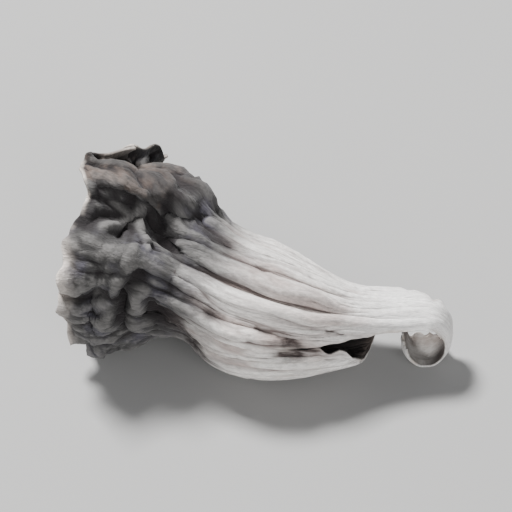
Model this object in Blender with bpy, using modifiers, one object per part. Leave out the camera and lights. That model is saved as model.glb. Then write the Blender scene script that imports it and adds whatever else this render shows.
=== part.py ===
"""A dried trumpet mushroom lying on its side, as one thin hollow shell.

The torn foot is towards +X and the mouth towards -X, turned a little back
and up. The model rests on the ground plane. Lengths in the tables are in
millimetres and angles in degrees.

The wall is one sheet, and each of its points is found from two numbers. The
run is the distance from the start of the stem towards the mouth. The angle
goes round the hollow from the front (0) over the top (90) to the back (180).
"""

import math

import bmesh
import bpy
import numpy as np

MM = 0.001

# The wall, and how finely the sheet is divided
WALL = 0.9
SINK = 0.35
COLUMNS = 68
CURL_ROWS = 9
LIP_ROWS = 5
BODY_RUNS = (0.0, 2.0, 4.0, 5.5, 7.0, 8.5, 10.0, 12.0, 14.0, 16.5, 19.5)
CAP_RUNS = (23.0, 26.5, 29.7, 32.6, 35.2, 37.6, 39.9, 42.1, 44.1, 46.0)

# The middle line of the hollow: run, and its place across and above the ground
RUN = (0.0, 13.0, 24.0, 31.0, 42.7, 54.0)
MIDDLE_Y = (-1.2, -1.6, 0.2, 3.2, 8.2, 10.2)
MIDDLE_Z = (8.2, 8.7, 10.2, 11.7, 14.0, 15.4)
FOOT_X = 24.0

# The radius of the hollow along the run
RADIUS_RUN = (0.0, 6.0, 10.0, 13.0, 17.0, 21.0, 25.0, 30.0, 35.0, 40.0, 45.0, 50.0)
RADIUS = (4.4, 4.8, 5.5, 6.5, 8.0, 9.2, 9.9, 9.8, 10.6, 12.2, 13.2, 13.8)

# The slit, where the stem is torn open lengthwise, and its lower edge
SLIT_ANGLE = 17.0
SLIT_RUN = (0.0, 6.0, 10.0, 14.0, 19.5)
SLIT_HIGH = (36.0, 34.0, 29.0, 22.0, 17.0)
TEAR_RUN = (0.0, 2.0, 4.0, 5.5, 7.0, 8.5, 10.0, 12.0, 14.0, 16.5, 19.5)
TEAR_LOW = (-224.0, -207.0, -174.0, -137.0, -98.0, -63.0, -35.0, -13.0, 0.0, 9.0, 17.0)

# The curled strip at the foot
CURL_TURN = 250.0
CURL_ACROSS = 4.2
CURL_DOWN = 6.35
STRIP_MIDDLE = 88.0

# Round the mouth: how far the wall runs, and how the lip is turned
MOUTH_ANGLE = (-90.0, -60.0, -20.0, 10.0, 40.0, 60.0, 74.0, 90.0, 110.0, 140.0, 180.0, 230.0)
MOUTH_RUN = (43.0, 43.5, 45.0, 47.0, 47.5, 47.0, 46.5, 47.5, 47.0, 43.0, 42.0, 43.0)
LIP_ANGLE = (-80.0, -40.0, 0.0, 30.0, 60.0, 76.0, 95.0, 120.0, 150.0, 190.0, 230.0)
LIP_LENGTH = (3.0, 2.8, 3.6, 3.2, 3.0, 2.8, 3.4, 4.5, 5.5, 5.0, 3.5)
LIP_BEND = (12.0, 6.0, -8.0, 6.0, -12.0, -6.0, 8.0, 26.0, 30.0, 18.0, 16.0)

# The fold along the top of the cap, where the back wall hangs over the front
FOLD_RUN = (34.0, 37.0, 40.0, 43.0, 48.0)
FOLD_ANGLE = (114.0, 103.0, 93.0, 86.0, 79.0)
FOLD_START = 32.5
FOLD_END = 44.0
FOLD_STEP = 2.2
FOLD_OVER = 11.0
FOLD_WIDE = 8.0

# Lumps and dents: run, angle, height, and how far they reach along and round
LUMPS = (
    (31.5, -45.0, -2.6, 2.2, 22.0),
    (40.5, -36.0, 2.6, 3.4, 20.0),
    (46.0, 118.0, -2.0, 4.0, 20.0),
    (38.0, 128.0, 1.6, 3.5, 14.0),
    (37.0, 70.0, -2.2, 2.2, 9.0),
    (43.5, 66.0, -1.6, 1.8, 8.0),
    (39.5, 13.0, 1.6, 2.6, 12.0),
    (34.0, 20.0, -1.0, 1.6, 12.0),
    (44.0, 22.0, -1.3, 1.8, 12.0),
    (43.0, 48.0, 1.4, 3.5, 9.0),
    (44.0, -8.0, 1.2, 2.6, 10.0),
    (40.0, 175.0, -1.6, 5.0, 22.0),
    (33.0, 235.0, -1.5, 4.0, 20.0),
    (28.0, 140.0, -0.8, 5.0, 18.0),
    (21.0, 60.0, 0.5, 5.0, 16.0),
)

# Crumples of the cap: random values round the hollow, their spacing along it,
# the start of the random numbers, the height, and the run where they begin
CRUMPLE_CELLS = 17
CRUMPLE_STEP = 5.0
CRUMPLE_SEED = 71
CRUMPLE_HEIGHT = 1.6
CRUMPLE_START = 29.0

# Long ridges: number round the hollow, height, start angle and turn per mm
RIDGES = (
    (9, 0.26, 10.0, 2.4),
    (14, 0.44, 75.0, -2.0),
    (17, 0.22, 130.0, 3.6),
)


def through(x, xs, ys):
    """Returns a smooth curve through the points xs, ys at each x."""
    xs = np.asarray(xs, float)
    ys = np.asarray(ys, float)
    slopes = np.gradient(ys, xs)
    inside = np.clip(x, xs[0], xs[-1])
    i = np.clip(np.searchsorted(xs, inside) - 1, 0, len(xs) - 2)
    h = xs[i + 1] - xs[i]
    f = (inside - xs[i]) / h
    a = (1 + 2 * f) * (1 - f) ** 2 * ys[i]
    b = f * (1 - f) ** 2 * h * slopes[i]
    c = f * f * (3 - 2 * f) * ys[i + 1]
    d = f * f * (f - 1) * h * slopes[i + 1]
    end = np.where(x < xs[0], slopes[0], slopes[-1])
    return a + b + c + d + (x - inside) * end


def turned(angle):
    """Returns the angle brought between -180 and 180."""
    return (np.asarray(angle) + 180.0) % 360.0 - 180.0


def around(angle, angles, values):
    """Returns a smooth curve round the mouth that meets itself after 360."""
    xs = np.concatenate([np.asarray(angles) + k for k in (-360.0, 0.0, 360.0)])
    ys = np.tile(values, 3)
    return through(turned(angle), xs, ys)


def smooth(x, low, high):
    """Returns 0 below low, 1 above high and a smooth rise between."""
    f = np.clip((x - low) / (high - low), 0.0, 1.0)
    return f * f * (3 - 2 * f)


def frame(run):
    """Returns the middle point and the along, front and up directions."""
    step = 0.05
    middle = [
        np.stack(
            [FOOT_X - r, through(r, RUN, MIDDLE_Y), through(r, RUN, MIDDLE_Z)], -1
        )
        for r in (run - step, run, run + step)
    ]
    along = middle[2] - middle[0]
    along /= np.linalg.norm(along, axis=-1, keepdims=True)
    front = np.cross((0.0, 0.0, 1.0), along)
    front /= np.linalg.norm(front, axis=-1, keepdims=True)
    up = np.cross(along, front)
    return middle[1], along, front, up


def ridges(run, angle):
    """Returns the height of the long ridges on the wall."""
    height = np.zeros_like(run)
    for count, size, start, turn in RIDGES:
        height += size * np.cos(np.radians(count * angle + start + turn * run))
    return height


def crumple(run, angle):
    """Returns the height of the cap's crumples: round lumps with creases."""
    rng = np.random.default_rng(CRUMPLE_SEED)
    table = rng.random((CRUMPLE_CELLS, 97)) * 2 - 1
    x = np.asarray(angle) / 360.0 * CRUMPLE_CELLS
    y = np.asarray(run) / CRUMPLE_STEP + 31.7
    column = np.floor(x).astype(int)
    row = np.floor(y).astype(int)
    fx = smooth(x - column, 0.0, 1.0)
    fy = smooth(y - row, 0.0, 1.0)
    near = table[column % CRUMPLE_CELLS, row % 97] * (1 - fx)
    near += table[(column + 1) % CRUMPLE_CELLS, row % 97] * fx
    far = table[column % CRUMPLE_CELLS, (row + 1) % 97] * (1 - fx)
    far += table[(column + 1) % CRUMPLE_CELLS, (row + 1) % 97] * fx
    lumps = np.abs(near * (1 - fy) + far * fy) ** 0.75 - 0.42
    return CRUMPLE_HEIGHT * lumps * smooth(run, CRUMPLE_START, CRUMPLE_START + 8.0)


def shape(run, angle):
    """Returns the radius of the wall with its ridges and lumps."""
    radius = through(run, RADIUS_RUN, RADIUS)
    grown = smooth(run, 2.0, 16.0)
    oval = 0.05 * np.cos(np.radians(2 * angle - 60)) + 0.035 * np.cos(
        np.radians(3 * angle + 40 + 3 * run)
    )
    wave = 0.07 * np.cos(np.radians(5 * angle + 20 + 4 * run)) + 0.05 * np.cos(
        np.radians(8 * angle + 150 - 3 * run)
    )
    radius = radius * (1 + oval * grown + wave * smooth(run, 32.0, 48.0))
    radius += ridges(run, angle) * grown * radius / 10.0
    for at, where, height, reach, wide in LUMPS:
        far = (turned(angle - where) / wide) ** 2 + ((run - at) / reach) ** 2
        radius += height * np.exp(-far / 2)
    radius += crumple(run, angle)
    off = turned(angle - through(run, FOLD_RUN, FOLD_ANGLE))
    step = np.tanh(off / 5.5) * np.exp(-((off / 36.0) ** 2))
    return radius + FOLD_STEP * step * fold_share(run)


def fold_share(run):
    """Returns how far the fold is formed: it fades out towards the mouth."""
    fading = 1 - 0.7 * smooth(run, FOLD_END, FOLD_END + 4.0)
    return smooth(run, FOLD_START, FOLD_START + 5.0) * fading


def folded(run, angle):
    """Returns the angle with the wall doubled back on itself at the fold."""
    off = turned(angle - through(run, FOLD_RUN, FOLD_ANGLE)) / FOLD_WIDE
    over = -FOLD_OVER * off * np.exp(-(off**2) / 2)
    return angle + over * fold_share(run)


def wall_points(run, angle):
    """Returns points on the wall of the hollow."""
    middle, _, front, up = frame(run)
    radius = shape(run, angle)
    low = np.radians(folded(run, angle))
    return middle + radius[..., None] * (
        np.cos(low)[..., None] * front + np.sin(low)[..., None] * up
    )


def edges(run):
    """Returns the angles of the tear's upper and lower edges at each run."""
    return np.interp(run, SLIT_RUN, SLIT_HIGH), np.interp(run, TEAR_RUN, TEAR_LOW)


def body_rows(columns):
    """Returns the run and angle of the sheet's points from foot to mouth."""
    plain = np.array(BODY_RUNS + CAP_RUNS)[:, None]
    share = plain / plain[-1]
    u = np.linspace(0.0, 1.0, columns + 1)[None, :]
    high, low = edges(plain)
    angle = high + u * (360.0 - high + low)
    reach = around(angle, MOUTH_ANGLE, MOUTH_RUN)
    run = plain + (reach - plain[-1]) * share**3
    return run, angle


def lip_rows(rows, columns):
    """Returns the points of the turned lip past the end of the wall."""
    u = np.linspace(0.0, 1.0, columns + 1)[None, :]
    angle = SLIT_ANGLE + u * 360.0
    run = around(angle, MOUTH_ANGLE, MOUTH_RUN)
    base = wall_points(run, angle)
    back = wall_points(run - 0.5, angle)
    along = base - back
    along /= np.linalg.norm(along, axis=-1, keepdims=True)
    _, _, front, up = frame(run)
    low = np.radians(angle)[..., None]
    outward = np.cos(low) * front + np.sin(low) * up
    outward -= (outward * along).sum(-1, keepdims=True) * along
    outward /= np.linalg.norm(outward, axis=-1, keepdims=True)
    length = around(angle, LIP_ANGLE, LIP_LENGTH)[..., None]
    bend = around(angle, LIP_ANGLE, LIP_BEND)[..., None]
    bend = np.radians(np.where(np.abs(bend) < 0.5, 0.5, bend))
    share = np.linspace(0.0, 1.0, rows + 1)[1:, None, None]
    gone = share * length
    forth = np.sin(bend * gone) / bend
    out = (1 - np.cos(bend * gone)) / bend
    return base + forth * along + out * outward


def curl_rows(rows, columns):
    """Returns the points of the curled strip, from its tip to the stem."""
    u = np.linspace(0.0, 1.0, columns + 1)[None, :]
    share = np.linspace(1.0, 0.0, rows + 1)[:-1, None]
    start = np.zeros((1, 1))
    middle, along, front, up = (x[0, 0] for x in frame(start))
    strip = math.radians(STRIP_MIDDLE)
    normal = math.cos(strip) * front + math.sin(strip) * up
    across = math.sin(strip) * front - math.cos(strip) * up
    high = SLIT_HIGH[0] + 6.0 * share**2
    low = TEAR_LOW[0] - 26.0 * share**2 + 5.0 * np.sin(np.radians(800 * share))
    angle = high + u * (360.0 - high + low)
    radius = shape(np.zeros_like(angle), angle)
    off = np.radians(angle - STRIP_MIDDLE)
    flat = 1.0 - 0.6 * smooth(share, 0.0, 0.5)
    side = -radius * np.sin(off) * (1 - 0.25 * share**2)
    drop = radius * (1 - np.cos(off)) * flat
    turn = np.radians(CURL_TURN) * share
    tight = 1 - 0.14 * share**2
    centre = middle + (RADIUS[0] - CURL_DOWN) * normal
    out = np.sin(turn) * (CURL_ACROSS * tight - drop)
    rise = np.cos(turn) * (CURL_DOWN * tight - drop)
    return (
        centre
        + out[..., None] * -along
        + rise[..., None] * normal
        + side[..., None] * across
    )


def sheet_points():
    """Returns the sheet as rows of points, from the curl's tip to the lip."""
    run, angle = body_rows(COLUMNS)
    rows = [
        curl_rows(CURL_ROWS, COLUMNS),
        wall_points(run, angle),
        lip_rows(LIP_ROWS, COLUMNS),
    ]
    points = np.concatenate(rows)
    points[..., 2] = np.maximum(points[..., 2], SINK + 0.4 * WALL)
    return points


def make_mesh(name):
    """Returns the closed shell as a mesh."""
    points = sheet_points()
    rows, columns = points.shape[:2]
    bm = bmesh.new()
    bmesh.ops.create_grid(bm, x_segments=columns - 1, y_segments=rows - 1, size=1.0)
    for vert in bm.verts:
        column = round((vert.co.x + 1) / 2 * (columns - 1))
        row = round((vert.co.y + 1) / 2 * (rows - 1))
        vert.co = points[row, column] * MM
    bmesh.ops.remove_doubles(bm, verts=bm.verts, dist=0.00001)
    bmesh.ops.recalc_face_normals(bm, faces=bm.faces)
    mesh = bpy.data.meshes.new(name)
    bm.to_mesh(mesh)
    bm.free()
    return mesh


def settle(obj):
    """Makes the wall's two sides real, centres it and flattens its underside."""
    graph = bpy.context.evaluated_depsgraph_get()
    solid = bpy.data.meshes.new_from_object(obj.evaluated_get(graph))
    obj.modifiers.clear()
    obj.data = solid
    points = np.array([vert.co for vert in solid.vertices])
    middle = (points.min(axis=0) + points.max(axis=0)) / 2
    points -= (middle[0], middle[1], SINK * MM)
    points[:, 2] = np.maximum(points[:, 2], 0.0)
    solid.vertices.foreach_set("co", points.ravel())
    solid.update()


def main():
    for old in list(bpy.data.objects):
        bpy.data.objects.remove(old, do_unlink=True)
    group = bpy.data.collections.new("trumpet_mushroom_parts")
    bpy.context.scene.collection.children.link(group)
    mesh = make_mesh("trumpet_mushroom")
    obj = bpy.data.objects.new("trumpet_mushroom", mesh)
    group.objects.link(obj)
    thick = obj.modifiers.new("wall", "SOLIDIFY")
    thick.thickness = WALL * MM
    thick.offset = 0.0
    thick.use_even_offset = False
    material = bpy.data.materials.new("dried_flesh")
    material.use_nodes = True
    shader = material.node_tree.nodes["Principled BSDF"]
    shader.inputs["Base Color"].default_value = (0.30, 0.26, 0.24, 1.0)
    shader.inputs["Roughness"].default_value = 0.9
    shader.inputs["Metallic"].default_value = 0.0
    obj.data.materials.append(material)
    bpy.context.view_layer.update()
    settle(obj)


main()
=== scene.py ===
"""A dried trumpet mushroom lying on a pale floor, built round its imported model.

The mushroom is one thin sheet rolled into a funnel. Each point of the sheet is
found from two numbers: the run, in millimetres from the start of the stem
towards the mouth, and the angle round the hollow, in degrees from the front
over the top to the back. The sheet is then given two sides, finer wrinkles and
colours that follow its own ridges and furrows.
"""

import logging
import math
from dataclasses import dataclass
from enum import Enum

import bpy
import numpy as np
from mathutils import Matrix


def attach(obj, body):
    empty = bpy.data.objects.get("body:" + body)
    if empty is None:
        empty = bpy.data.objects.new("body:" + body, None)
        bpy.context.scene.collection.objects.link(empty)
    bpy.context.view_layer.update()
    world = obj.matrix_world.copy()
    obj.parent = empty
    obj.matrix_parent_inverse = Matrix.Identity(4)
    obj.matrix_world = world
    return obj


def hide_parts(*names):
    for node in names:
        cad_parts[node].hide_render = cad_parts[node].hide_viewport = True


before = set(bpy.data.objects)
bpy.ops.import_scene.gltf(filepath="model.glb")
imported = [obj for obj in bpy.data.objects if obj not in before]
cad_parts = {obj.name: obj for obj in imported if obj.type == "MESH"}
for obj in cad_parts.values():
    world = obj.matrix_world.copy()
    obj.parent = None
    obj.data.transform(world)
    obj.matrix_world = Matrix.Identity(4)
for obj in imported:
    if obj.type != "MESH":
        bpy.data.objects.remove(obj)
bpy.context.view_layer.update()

log = logging.getLogger("trumpet")

MM = 0.001
NODE = "trumpet_mushroom"
SLOT = "dried_flesh"

Points = np.ndarray
Table = tuple[float, ...]


def through(x: np.ndarray, xs: Table | np.ndarray, ys: Table | np.ndarray) -> np.ndarray:
    """Smooth curve through given points, straight past both ends.

    Between two points it is the cubic that meets each at its value and at the
    mean slope of its neighbours.

    Args:
        x: Where to read the curve.
        xs: Rising places of the points.
        ys: Values at those places.

    Returns:
        The curve's value at each x.
    """
    xs = np.asarray(xs, float)
    ys = np.asarray(ys, float)
    slopes = np.gradient(ys, xs)
    inside = np.clip(x, xs[0], xs[-1])
    i = np.clip(np.searchsorted(xs, inside) - 1, 0, len(xs) - 2)
    h = xs[i + 1] - xs[i]
    f = (inside - xs[i]) / h
    start = (1 + 2 * f) * (1 - f) ** 2 * ys[i]
    rise = f * (1 - f) ** 2 * h * slopes[i]
    end = f * f * (3 - 2 * f) * ys[i + 1]
    fall = f * f * (f - 1) * h * slopes[i + 1]
    past = np.where(x < xs[0], slopes[0], slopes[-1])
    return start + rise + end + fall + (x - inside) * past


def turned(angle: np.ndarray) -> np.ndarray:
    """Brings angles between -180 and 180 degrees.

    Args:
        angle: Angles in degrees.

    Returns:
        The same directions between -180 and 180.
    """
    return (np.asarray(angle) + 180.0) % 360.0 - 180.0


def around(angle: np.ndarray, angles: Table, values: Table) -> np.ndarray:
    """Smooth curve round the hollow that meets itself after a full turn.

    Args:
        angle: Where to read the curve, in degrees.
        angles: Rising places of the points, within one turn.
        values: Values at those places.

    Returns:
        The curve's value at each angle.
    """
    xs = np.concatenate([np.asarray(angles) + k for k in (-360.0, 0.0, 360.0)])
    return through(turned(angle), xs, np.tile(values, 3))


def smooth(x: np.ndarray, low: float, high: float) -> np.ndarray:
    """Smooth rise from 0 to 1.

    Args:
        x: Where to read it.
        low: Where it leaves 0.
        high: Where it reaches 1.

    Returns:
        The share of the rise at each x.
    """
    f = np.clip((x - low) / (high - low), 0.0, 1.0)
    return f * f * (3 - 2 * f)


@dataclass(frozen=True)
class Grain:
    """Random pattern on the sheet that has no seam round the hollow.

    Attributes:
        cells: Number of random values round the hollow.
        length: Distance between random values along the run, in mm.
        seed: Start of the random numbers.
    """

    cells: int
    length: float
    seed: int

    def read(self, run: np.ndarray, angle: np.ndarray) -> np.ndarray:
        """Reads the pattern by smooth blending of the four nearest values.

        The blend along each side is 3 f^2 - 2 f^3, with f the share of the way.

        Args:
            run: Distance along the hollow in mm.
            angle: Angle round the hollow in degrees.

        Returns:
            Values between -1 and 1.
        """
        table = np.random.default_rng(self.seed).random((self.cells, 97)) * 2 - 1
        x = angle / 360.0 * self.cells
        y = run / self.length + 31.7
        ix = np.floor(x).astype(int)
        iy = np.floor(y).astype(int)
        fx = x - ix
        fy = y - iy
        fx = fx * fx * (3 - 2 * fx)
        fy = fy * fy * (3 - 2 * fy)
        a = table[ix % self.cells, iy % 97]
        b = table[(ix + 1) % self.cells, iy % 97]
        c = table[ix % self.cells, (iy + 1) % 97]
        d = table[(ix + 1) % self.cells, (iy + 1) % 97]
        return (a * (1 - fx) + b * fx) * (1 - fy) + (c * (1 - fx) + d * fx) * fy

    def creased(self, run: np.ndarray, angle: np.ndarray) -> np.ndarray:
        """Rounded strands with a sharp crease between them.

        Args:
            run: Distance along the hollow in mm.
            angle: Angle round the hollow in degrees.

        Returns:
            Values from 0 in a crease to 1 on a strand.
        """
        return np.abs(self.read(run, angle)) ** 0.75


@dataclass(frozen=True)
class Form:
    """Measurements of the mushroom's main form, in mm and degrees.

    The tables pair places with values; the names say what they hold.
    """

    wall: float = 0.82
    sink: float = 0.35
    foot_x: float = 24.0
    centre: tuple[float, float] = (-0.037, 7.363)
    crumple_height: float = 1.6
    crumple_start: float = 29.0
    run: Table = (0.0, 13.0, 24.0, 31.0, 42.7, 54.0)
    middle_y: Table = (-1.2, -1.6, 0.2, 3.2, 8.2, 10.2)
    middle_z: Table = (8.2, 8.7, 10.2, 11.7, 14.0, 15.4)
    radius_run: Table = (0.0, 6.0, 10.0, 13.0, 17.0, 21.0, 25.0, 30.0, 35.0, 40.0, 45.0, 50.0)
    radius: Table = (4.4, 4.8, 5.5, 6.5, 8.0, 9.2, 9.9, 9.8, 10.6, 12.2, 13.2, 13.8)
    slit_run: Table = (0.0, 6.0, 10.0, 14.0, 19.5)
    slit_high: Table = (36.0, 34.0, 29.0, 22.0, 17.0)
    tear_run: Table = (0.0, 2.0, 4.0, 5.5, 7.0, 8.5, 10.0, 12.0, 14.0, 16.5, 19.5)
    tear_low: Table = (
        -228.0, -212.0, -180.0, -140.0, -94.0, -48.0, -8.0, 10.0, 14.0, 16.0, 17.0,
    )
    band: float = 12.0
    curl_turn: float = 250.0
    curl_across: float = 4.2
    curl_down: float = 6.35
    strip_middle: float = 88.0
    mouth_angle: Table = (
        -90.0, -60.0, -20.0, 10.0, 40.0, 60.0, 74.0, 90.0, 110.0, 140.0, 180.0, 230.0,
    )
    mouth_run: Table = (
        43.0, 43.5, 45.0, 47.0, 47.5, 47.0, 46.5, 47.5, 47.0, 43.0, 42.0, 43.0,
    )
    lip_angle: Table = (
        -80.0, -40.0, 0.0, 30.0, 60.0, 76.0, 95.0, 120.0, 150.0, 190.0, 230.0,
    )
    lip_length: Table = (3.0, 2.8, 3.6, 3.2, 3.0, 2.8, 3.4, 4.5, 5.5, 5.0, 3.5)
    lip_bend: Table = (
        12.0, 6.0, -8.0, 6.0, -12.0, -6.0, 8.0, 26.0, 30.0, 18.0, 16.0,
    )
    fold_run: Table = (34.0, 37.0, 40.0, 43.0, 48.0)
    fold_angle: Table = (114.0, 103.0, 93.0, 86.0, 79.0)
    fold_start: float = 32.5
    fold_end: float = 44.0
    fold_step: float = 2.2
    fold_over: float = 11.0
    fold_wide: float = 8.0
    mouth_plain: float = 46.0


class Lump(Enum):
    """Lumps and dents of the wall.

    Each value is the run, the angle, the height, and how far the lump reaches
    along the run in mm and round the hollow in degrees.
    """

    WAIST_BELOW = (31.5, -45.0, -2.6, 2.2, 22.0)
    CAP_BELOW = (40.5, -36.0, 2.6, 3.4, 20.0)
    ROLL_DIP = (46.0, 118.0, -2.0, 4.0, 20.0)
    ROLL_BACK = (38.0, 128.0, 1.6, 3.5, 14.0)
    POCKET = (37.0, 70.0, -2.2, 2.2, 9.0)
    HOLLOW = (43.5, 66.0, -1.6, 1.8, 8.0)
    SWIRL = (39.5, 13.0, 1.6, 2.6, 12.0)
    SWIRL_EDGE = (34.0, 20.0, -1.0, 1.6, 12.0)
    LEFT_DENT = (44.0, 22.0, -1.3, 1.8, 12.0)
    LEFT_RIB = (43.0, 48.0, 1.4, 3.5, 9.0)
    LOW_RIM = (44.0, -8.0, 1.2, 2.6, 10.0)
    BACK_DENT = (40.0, 175.0, -1.6, 5.0, 22.0)
    BACK_LOW = (33.0, 235.0, -1.5, 4.0, 20.0)
    BACK_TOP = (28.0, 140.0, -0.8, 5.0, 18.0)
    BELLY = (21.0, 60.0, 0.5, 5.0, 16.0)


class Ridge(Enum):
    """Long ridges: number round the hollow, height, start angle, turn per mm."""

    BROAD = (9, 0.22, 10.0, 2.4)
    MAIN = (14, 0.26, 75.0, -2.0)
    SMALL = (17, 0.22, 130.0, 3.6)


class Strand(Enum):
    """Strands of the stem with a crease between them.

    Each value is their grain, their height in mm and the run where they reach
    it, 9 mm after they start.
    """

    MIDDLE = (Grain(56, 19.0, 23), 0.62, 1.0)
    FINE = (Grain(112, 11.0, 37), 0.46, 11.0)


class Crumple(Enum):
    """Crumpled creases of the cap: their grain and height in mm."""

    PLEAT = (Grain(38, 7.0, 72), -1.00)
    MIDDLE = (Grain(46, 2.6, 74), -0.62)
    SMALL = (Grain(88, 1.5, 73), -0.50)
    FINE = (Grain(116, 1.1, 75), -0.26)


@dataclass
class Sheet:
    """The rolled sheet as rows of points from the curl's tip to the lip.

    Attributes:
        middle: Points of the sheet's middle, rows by columns by 3, in mm.
        run: Distance along the hollow at each point.
        angle: Angle round the hollow at each point.
        joined: For each row, whether its two ends meet.
    """

    middle: Points
    run: np.ndarray
    angle: np.ndarray
    joined: np.ndarray


class Funnel:
    """The mushroom's sheet, worked out from its measurements."""

    def __init__(self, form: Form, columns: int, curl: int, body: int, lip: int) -> None:
        """Keeps the measurements and how finely the sheet is divided.

        Args:
            form: Measurements of the main form.
            columns: Divisions round the hollow.
            curl: Rows in the curled strip.
            body: Rows from the foot to the mouth.
            lip: Rows in the turned lip.
        """
        self.form = form
        self.columns = columns
        self.curl = curl
        self.body = body
        self.lip = lip

    def axes(self, run: np.ndarray) -> tuple[Points, Points, Points, Points]:
        """Middle line of the hollow with its own directions.

        Args:
            run: Distance along the hollow.

        Returns:
            The middle point and the along, front and up directions.
        """
        f = self.form
        three = [
            np.stack(
                [f.foot_x - r, through(r, f.run, f.middle_y), through(r, f.run, f.middle_z)],
                -1,
            )
            for r in (run - 0.05, run, run + 0.05)
        ]
        along = three[2] - three[0]
        along /= np.linalg.norm(along, axis=-1, keepdims=True)
        front = np.cross((0.0, 0.0, 1.0), along)
        front /= np.linalg.norm(front, axis=-1, keepdims=True)
        return three[1], along, front, np.cross(along, front)

    def fold(self, run: np.ndarray, angle: np.ndarray) -> np.ndarray:
        """Angle from the fold along the top of the cap.

        Args:
            run: Distance along the hollow.
            angle: Angle round the hollow.

        Returns:
            Degrees from the fold, positive towards the back.
        """
        return turned(angle - through(run, self.form.fold_run, self.form.fold_angle))

    def fold_share(self, run: np.ndarray) -> np.ndarray:
        """How far the fold is formed: it rises from its start and fades at the mouth."""
        fading = 1 - 0.7 * smooth(run, self.form.fold_end, self.form.fold_end + 4.0)
        return smooth(run, self.form.fold_start, self.form.fold_start + 5.0) * fading

    def radius(self, run: np.ndarray, angle: np.ndarray) -> np.ndarray:
        """Distance of the wall from the middle line.

        It is the plain radius, made oval and wavy towards the mouth, with the
        long ridges as cosines round the hollow, each lump as a bell shape, and
        a step across the fold.

        Args:
            run: Distance along the hollow.
            angle: Angle round the hollow.

        Returns:
            The radius in mm.
        """
        f = self.form
        plain = through(run, f.radius_run, f.radius)
        grown = smooth(run, 2.0, 16.0)
        oval = 0.05 * np.cos(np.radians(2 * angle - 60))
        oval = oval + 0.035 * np.cos(np.radians(3 * angle + 40 + 3 * run))
        wave = 0.07 * np.cos(np.radians(5 * angle + 20 + 4 * run))
        wave = wave + 0.05 * np.cos(np.radians(8 * angle + 150 - 3 * run))
        radius = plain * (1 + oval * grown + wave * smooth(run, 32.0, 48.0))
        high = sum(
            size * np.cos(np.radians(count * angle + start + turn * run))
            for count, size, start, turn in (r.value for r in Ridge)
        )
        radius = radius + high * grown * radius / 10.0
        for at, where, height, reach, wide in (lump.value for lump in Lump):
            far = (turned(angle - where) / wide) ** 2 + ((run - at) / reach) ** 2
            radius = radius + height * np.exp(-far / 2)
        lumps = Grain(17, 5.0, 71).creased(run, angle) - 0.42
        grown = smooth(run, f.crumple_start, f.crumple_start + 8.0)
        radius = radius + f.crumple_height * lumps * grown
        off = self.fold(run, angle)
        step = np.tanh(off / 5.5) * np.exp(-((off / 36.0) ** 2))
        return radius + f.fold_step * step * self.fold_share(run)

    def place(self, run: np.ndarray, angle: np.ndarray) -> Points:
        """Points of the wall.

        Args:
            run: Distance along the hollow.
            angle: Angle round the hollow.

        Returns:
            The points in mm.
        """
        f = self.form
        middle, _, front, up = self.axes(run)
        off = self.fold(run, angle) / f.fold_wide
        over = f.fold_over * off * np.exp(-(off**2) / 2)
        bent = angle - over * self.fold_share(run)
        low = np.radians(bent)[..., None]
        return middle + self.radius(run, angle)[..., None] * (
            np.cos(low) * front + np.sin(low) * up
        )

    def edges(self, run: np.ndarray) -> tuple[np.ndarray, np.ndarray]:
        """Angles of the tear's upper and lower edges before they fray.

        Args:
            run: Distance along the hollow.

        Returns:
            The upper and the lower edge's angle at each run.
        """
        f = self.form
        return np.interp(run, f.slit_run, f.slit_high), np.interp(run, f.tear_run, f.tear_low)

    def spread(self, run: np.ndarray, high: np.ndarray, low: np.ndarray) -> np.ndarray:
        """Places the columns between the tear's edges and frays both edges.

        Each edge is moved by two random patterns, the lower one also by three
        notches near the foot. The columns keep their angles, each an even share
        of the turn, as far as the lower edge leaves room; those left over lie
        side by side in a narrow band along it. Columns beside the upper edge
        follow it by the eighth power of their way across.

        Args:
            run: Distance along the hollow.
            high: Angle of the upper edge.
            low: Angle of the lower edge.

        Returns:
            The angle of each point.
        """
        u = np.linspace(0.0, 1.0, self.columns + 1)[None, :]
        zero = np.zeros_like(run)
        open_ = 1 - smooth(run, 14.0, 19.5)
        frayed = Grain(3, 1.5, 5).read(run, zero) + 0.6 * Grain(3, 0.8, 6).read(run, zero)
        torn = Grain(3, 1.8, 8).read(run, zero) + 0.7 * Grain(3, 0.9, 9).read(run, zero)
        torn = torn * (4.0 + 8.0 * (1 - smooth(run, 0.0, 4.0))) * open_
        for at, deep, reach in ((-0.9, 16.0, 0.9), (-3.8, 12.0, 0.9), (2.2, 9.0, 0.8)):
            torn = torn - deep * np.exp(-np.abs((run - at) / reach) ** 1.4)
        start = self.form.slit_high[-1]
        pushed = high - start + 1.6 * frayed * open_
        end = 360.0 + low + torn
        room = (end - self.form.band - start) / 360.0
        kept = start + 360.0 * room + pushed * (1 - room) ** 8
        even = start + 360.0 * u + pushed * (1 - u) ** 8
        return np.where(u < room, even, end - (end - kept) * (1 - u) / (1 - room))

    def body_part(self) -> tuple[Points, np.ndarray, np.ndarray, np.ndarray]:
        """The wall from the foot to the mouth.

        Returns:
            Points, runs, angles and, for each row, whether its ends meet.
        """
        f = self.form
        share = np.linspace(0.0, 1.0, self.body + 1)[:, None]
        plain = f.mouth_plain * share
        angle = self.spread(plain, *self.edges(plain))
        reach = around(angle, f.mouth_angle, f.mouth_run)
        run = plain + (reach - f.mouth_plain) * share**3
        return self.place(run, angle), run, angle, plain[:, 0] >= f.tear_run[-1]

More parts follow.
